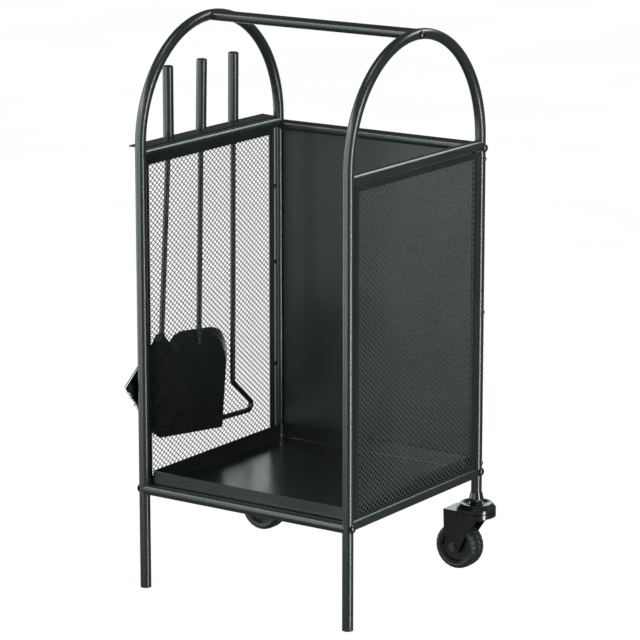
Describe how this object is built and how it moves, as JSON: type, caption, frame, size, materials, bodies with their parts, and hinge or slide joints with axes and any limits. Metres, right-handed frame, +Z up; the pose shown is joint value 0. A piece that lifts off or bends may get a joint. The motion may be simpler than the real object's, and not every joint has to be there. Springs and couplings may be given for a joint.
{
  "type": "firewood log rack",
  "caption": "Upright firewood rack of bent tube hoops with mesh sides, sheet back, log tray, swivel casters and hearth tools hung on one side.",
  "frame": {"origin": "bottom centre of the rack's box, on the floor under its feet and wheels", "axes": "+Z up, -Y towards the open front, the tools hang on the -X side"},
  "size_m": [0.4506, 0.3878, 0.836],
  "materials": {
    "frame_tube": "satin charcoal powder coat",
    "mesh": "satin charcoal powder coat on expanded mesh",
    "sheet": "satin charcoal powder coat",
    "fastener": "satin black",
    "caster_steel": "semi-gloss black",
    "pin": "zinc plated",
    "hub": "matt moulded plastic",
    "tyre": "matt rubber with a moulded tread",
    "foot": "matt",
    "tool_steel": "satin charcoal powder coat",
    "bristle": "matt fibre"
  },
  "bodies": {
    "rack": {"left_hoop": "frame_tube", "right_hoop": "frame_tube", "handle_bar": "frame_tube", "rear_top_rail": "frame_tube", "front_bottom_rail": "frame_tube", "rear_bottom_rail": "frame_tube", "left_top_rail": "frame_tube", "right_top_rail": "frame_tube", "left_bottom_rail": "frame_tube", "right_bottom_rail": "frame_tube", "left_border": "sheet", "right_border": "sheet", "back_panel": "sheet", "log_tray": "sheet", "tool_plate": "sheet", "left_mesh": "mesh", "right_mesh": "mesh", "frame_bolts": "fastener", "panel_screws": "fastener", "foot_plugs": "foot", "caster_collars": "caster_steel", "caster_nuts": "caster_steel", "caster_dishes": "caster_steel", "caster_stems": "pin"},
    "left_caster": {"left_fork": "caster_steel", "left_axle": "pin"},
    "right_caster": {"right_fork": "caster_steel", "right_axle": "pin"},
    "left_wheel": {"left_wheel_hub": "hub", "left_tyre": "tyre"},
    "right_wheel": {"right_wheel_hub": "hub", "right_tyre": "tyre"},
    "broom": {"broom_grip": "tool_steel", "broom_rod": "tool_steel", "broom_block": "tool_steel", "broom_bristles": "bristle"},
    "shovel": {"shovel_grip": "tool_steel", "shovel_rod": "tool_steel", "shovel_pan": "tool_steel"},
    "poker": {"poker_grip": "tool_steel", "poker_rod": "tool_steel"}
  },
  "joints": [
    {"name": "left_swivel", "type": "hinge", "parent": "rack", "child": "left_caster", "pos_m": [-0.16225, 0.16437, 0.088], "axis": [0, 0, 1], "continuous": true},
    {"name": "left_roll", "type": "hinge", "parent": "left_caster", "child": "left_wheel", "pos_m": [-0.19025, 0.16437, 0.035], "axis": [0, 1, 0], "continuous": true},
    {"name": "right_swivel", "type": "hinge", "parent": "rack", "child": "right_caster", "pos_m": [0.19575, 0.16437, 0.088], "axis": [0, 0, 1], "continuous": true},
    {"name": "right_roll", "type": "hinge", "parent": "right_caster", "child": "right_wheel", "pos_m": [0.16775, 0.16437, 0.035], "axis": [0, 1, 0], "continuous": true},
    {"name": "broom_lift", "type": "slide", "parent": "rack", "child": "broom", "axis": [0, 0.0756, 0.9971], "range_m": [0, 0.05]},
    {"name": "shovel_lift", "type": "slide", "parent": "rack", "child": "shovel", "axis": [0.0049, 0.0244, 0.9997], "range_m": [0, 0.05]},
    {"name": "poker_lift", "type": "slide", "parent": "rack", "child": "poker", "axis": [0, 0.014, 0.9999], "range_m": [0, 0.05]}
  ]
}
